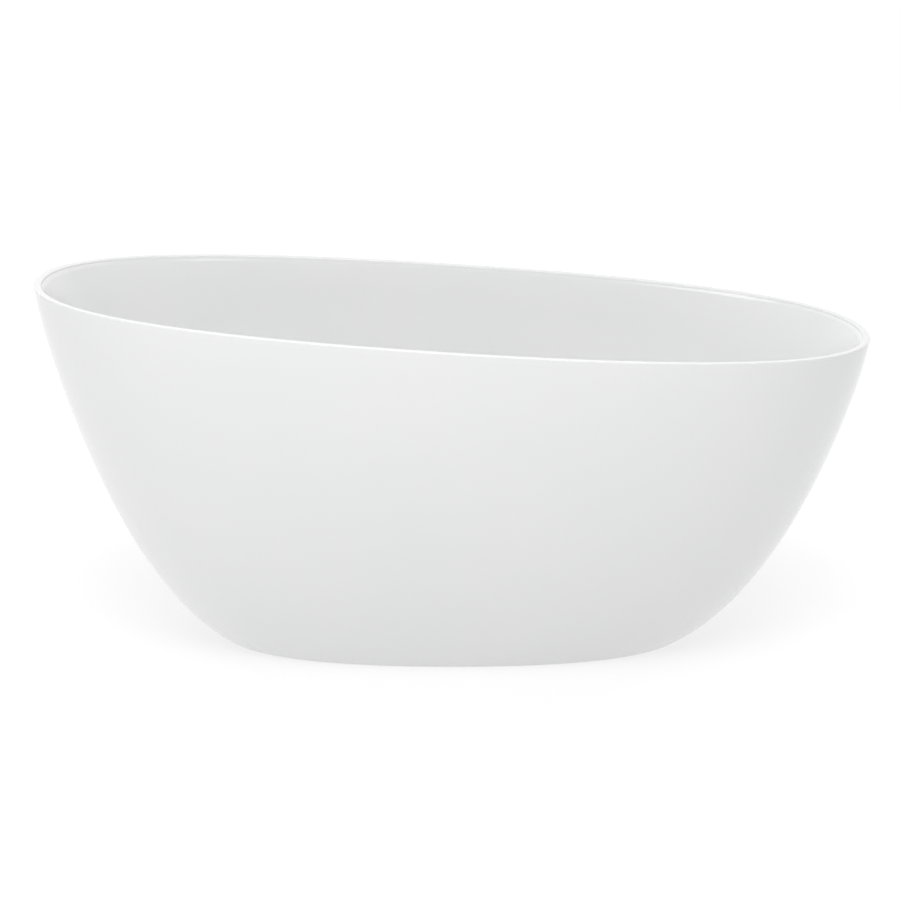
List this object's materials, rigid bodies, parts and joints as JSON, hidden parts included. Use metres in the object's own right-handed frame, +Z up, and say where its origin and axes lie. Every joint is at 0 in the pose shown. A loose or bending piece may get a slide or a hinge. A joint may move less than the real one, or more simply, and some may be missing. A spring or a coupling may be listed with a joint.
{
  "type": "freestanding bathtub",
  "caption": "Freestanding oval slipper bath with a sloping thin rim, double acrylic wall, levelling steel frame, press plug, overflow and trap",
  "frame": {"origin": "on the floor, under the middle of the bath", "axes": "+Z up, +X along the bath to the foot end with the low rim and the waste, +Y to the left when facing the foot end"},
  "size_m": [1.5996, 0.7398, 0.7018],
  "materials": {
    "acrylic": "polished sanitary acrylic, high gloss white",
    "board": "pressed wood board sealed with resin",
    "frame_steel": "grey powder coat on square steel tube",
    "zinc_plate": "bright zinc plated steel",
    "rubber_pad": "matt black rubber",
    "chrome": "polished chrome plate",
    "seal_rubber": "soft black rubber",
    "brass": "turned brass",
    "spring_steel": "stainless steel",
    "grey_plastic": "moulded grey plastic",
    "hose_plastic": "ribbed flexible plastic",
    "white_plastic": "moulded white polypropylene"
  },
  "bodies": {
    "bath": {"base_board": "board", "board_screws": "zinc_plate", "bracket_screws": "zinc_plate", "crossbar_foot": "frame_steel", "crossbar_head": "frame_steel", "crossbar_middle": "frame_steel", "drain_body": "white_plastic", "drain_flange": "chrome", "drain_top_gasket": "seal_rubber", "drain_under_gasket": "seal_rubber", "frame_rail_left": "frame_steel", "frame_rail_right": "frame_steel", "hose_clamp_low": "spring_steel", "hose_clamp_top": "spring_steel", "inner_basin": "acrylic", "lock_nut_1": "zinc_plate", "lock_nut_2": "zinc_plate", "lock_nut_3": "zinc_plate", "lock_nut_4": "zinc_plate", "lock_nut_5": "zinc_plate", "outer_shell": "acrylic", "outlet_nut": "white_plastic", "outlet_pipe": "white_plastic", "outlet_seal": "seal_rubber", "overflow_cover": "chrome", "overflow_elbow": "white_plastic", "overflow_gasket": "seal_rubber", "overflow_hose": "hose_plastic", "overflow_ring": "brass", "plug_cartridge": "grey_plastic", "plug_spring": "spring_steel", "shell_bracket_1": "zinc_plate", "shell_bracket_2": "zinc_plate", "shell_bracket_3": "zinc_plate", "shell_bracket_4": "zinc_plate", "trap_cup": "white_plastic", "trap_head": "white_plastic", "trap_nut": "white_plastic", "trap_seal": "seal_rubber", "weld_nut_1": "zinc_plate", "weld_nut_2": "zinc_plate", "weld_nut_3": "zinc_plate", "weld_nut_4": "zinc_plate", "weld_nut_5": "zinc_plate"},
    "plug": {"plug_cap": "chrome", "plug_seal": "seal_rubber", "plug_stem": "brass"},
    "foot_1": {"foot_stud_1": "zinc_plate", "foot_pad_1": "rubber_pad"},
    "foot_2": {"foot_stud_2": "zinc_plate", "foot_pad_2": "rubber_pad"},
    "foot_3": {"foot_stud_3": "zinc_plate", "foot_pad_3": "rubber_pad"},
    "foot_4": {"foot_stud_4": "zinc_plate", "foot_pad_4": "rubber_pad"},
    "foot_5": {"foot_stud_5": "zinc_plate", "foot_pad_5": "rubber_pad"}
  },
  "joints": [
    {"name": "plug_press", "type": "slide", "parent": "bath", "child": "plug", "axis": [0, 0, 1], "range_m": [0, 0.008], "deforming": ["plug_spring"]},
    {"name": "foot_1_screw", "type": "slide", "parent": "bath", "child": "foot_1", "axis": [0, 0, 1], "range_m": [-0.015, 0]},
    {"name": "foot_2_screw", "type": "slide", "parent": "bath", "child": "foot_2", "axis": [0, 0, 1], "range_m": [-0.015, 0]},
    {"name": "foot_3_screw", "type": "slide", "parent": "bath", "child": "foot_3", "axis": [0, 0, 1], "range_m": [-0.015, 0]},
    {"name": "foot_4_screw", "type": "slide", "parent": "bath", "child": "foot_4", "axis": [0, 0, 1], "range_m": [-0.015, 0]},
    {"name": "foot_5_screw", "type": "slide", "parent": "bath", "child": "foot_5", "axis": [0, 0, 1], "range_m": [-0.015, 0]}
  ]
}
